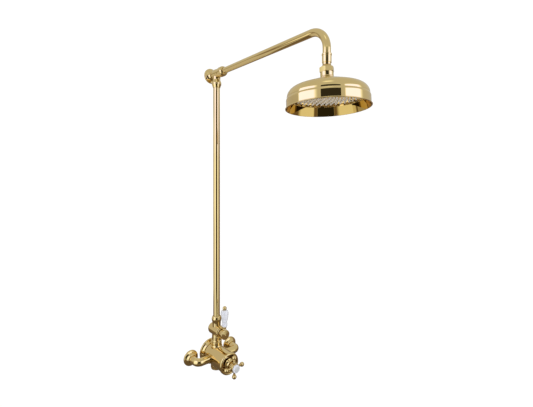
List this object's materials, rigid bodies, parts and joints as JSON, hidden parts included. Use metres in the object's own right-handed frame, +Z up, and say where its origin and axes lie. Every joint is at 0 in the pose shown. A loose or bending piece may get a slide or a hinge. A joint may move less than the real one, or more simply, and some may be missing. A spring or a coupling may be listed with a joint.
{
  "type": "thermostatic shower column with rigid riser",
  "caption": "Wall-mounted exposed thermostatic valve with a rigid riser, a swept arm and a bell-shaped rainfall rose on a ball joint.",
  "frame": {"origin": "point on the wall plane where the axis of the thermostatic valve meets the wall", "axes": "+X to the right along the wall for a person facing it, +Y into the wall, +Z up along the riser"},
  "size_m": [0.1996, 0.6074, 0.9941],
  "materials": {
    "gold_brass": "polished",
    "plain_brass": "satin",
    "glazed_porcelain": "gloss",
    "stainless_steel": "satin",
    "white_plastic": "matte",
    "valve_ceramic": "matte",
    "seal_rubber": "matte",
    "nozzle_silicone": "matte"
  },
  "bodies": {
    "column": {"wall_bracket": "plain_brass", "wall_plate": "gold_brass", "bracket_grub_screw": "stainless_steel", "valve_body": "gold_brass", "bottom_plug": "gold_brass", "front_bezel": "gold_brass", "inlet_elbow_left": "gold_brass", "inlet_elbow_right": "gold_brass", "inlet_rose_left": "gold_brass", "inlet_rose_right": "gold_brass", "check_valve_bodies": "white_plastic", "inlet_filters": "stainless_steel", "check_spring_left": "stainless_steel", "check_spring_right": "stainless_steel", "cartridge_sleeve": "plain_brass", "sealing_rings": "seal_rubber", "return_spring": "stainless_steel", "cartridge_nut": "plain_brass", "flow_body": "gold_brass", "fixed_disc": "valve_ceramic", "flow_cartridge": "plain_brass", "flow_bonnet_nut": "gold_brass", "riser_lower_nut": "gold_brass", "riser_upper_nut": "gold_brass", "riser_pipe": "gold_brass", "tee_body": "gold_brass", "wall_stay": "plain_brass", "stay_rose": "gold_brass", "arm_nut": "gold_brass", "compression_olives": "plain_brass", "arm_pipe": "gold_brass", "arm_end_collar": "gold_brass", "ball_nipple": "plain_brass"},
    "temperature_handle": {"temperature_spindle": "plain_brass", "handle_hub": "gold_brass", "handle_arms": "gold_brass", "handle_index": "glazed_porcelain", "handle_screw": "stainless_steel"},
    "thermostat": {"thermostat_shuttle": "white_plastic", "wax_element": "plain_brass", "overload_nut": "plain_brass"},
    "check_left": {"check_poppet_left": "white_plastic"},
    "check_right": {"check_poppet_right": "white_plastic"},
    "flow_lever": {"lever_hub": "gold_brass", "flow_spindle": "plain_brass", "moving_disc": "valve_ceramic", "lever_rod": "stainless_steel", "lever_ferrule": "gold_brass", "lever_grip": "glazed_porcelain", "lever_finial": "gold_brass"},
    "rose_pitch": {"ball_seat_upper": "white_plastic"},
    "rose_roll": {"ball_seat_lower": "white_plastic"},
    "rose": {"swivel_nut": "gold_brass", "rose_neck": "gold_brass", "rose_dome": "gold_brass", "rose_skirt": "gold_brass", "spray_chamber": "plain_brass", "face_plate": "gold_brass", "nozzle_mat": "nozzle_silicone", "face_screws": "stainless_steel"}
  },
  "joints": [
    {"name": "lever_turn", "type": "hinge", "parent": "column", "child": "flow_lever", "pos_m": [0, -0.086, 0.0825], "axis": [0, -1, 0], "range_deg": [0, 90]},
    {"name": "temperature_turn", "type": "hinge", "parent": "column", "child": "temperature_handle", "pos_m": [0, -0.1395, 0], "axis": [0, -1, 0], "range_deg": [-135, 135]},
    {"name": "thermostat_slide", "type": "slide", "parent": "column", "child": "thermostat", "axis": [0, -1, 0], "range_m": [-0.0006, 0.0006], "deforming": ["return_spring"]},
    {"name": "check_left_slide", "type": "slide", "parent": "column", "child": "check_left", "axis": [1, 0, 0], "range_m": [0, 0.003], "stiffness_N_per_m": 60, "springref_m": -0.002, "deforming": ["check_spring_left"]},
    {"name": "check_right_slide", "type": "slide", "parent": "column", "child": "check_right", "axis": [-1, 0, 0], "range_m": [0, 0.003], "stiffness_N_per_m": 60, "springref_m": -0.002, "deforming": ["check_spring_right"]},
    {"name": "rose_pitch_turn", "type": "hinge", "parent": "column", "child": "rose_pitch", "pos_m": [0, -0.5065, 0.8285], "axis": [1, 0, 0], "range_deg": [-7.5, 12.5]},
    {"name": "rose_roll_turn", "type": "hinge", "parent": "rose_pitch", "child": "rose_roll", "pos_m": [0, -0.5065, 0.8285], "axis": [0, 0.999, -0.0436], "range_deg": [-10, 10]},
    {"name": "rose_spin", "type": "hinge", "parent": "rose_roll", "child": "rose", "pos_m": [0, -0.5065, 0.8285], "axis": [0, 0.0436, 0.999], "continuous": true}
  ],
  "couplings": [
    {"joint": "thermostat_slide", "follows": "temperature_turn", "m_per_rad": 0.00023873}
  ]
}
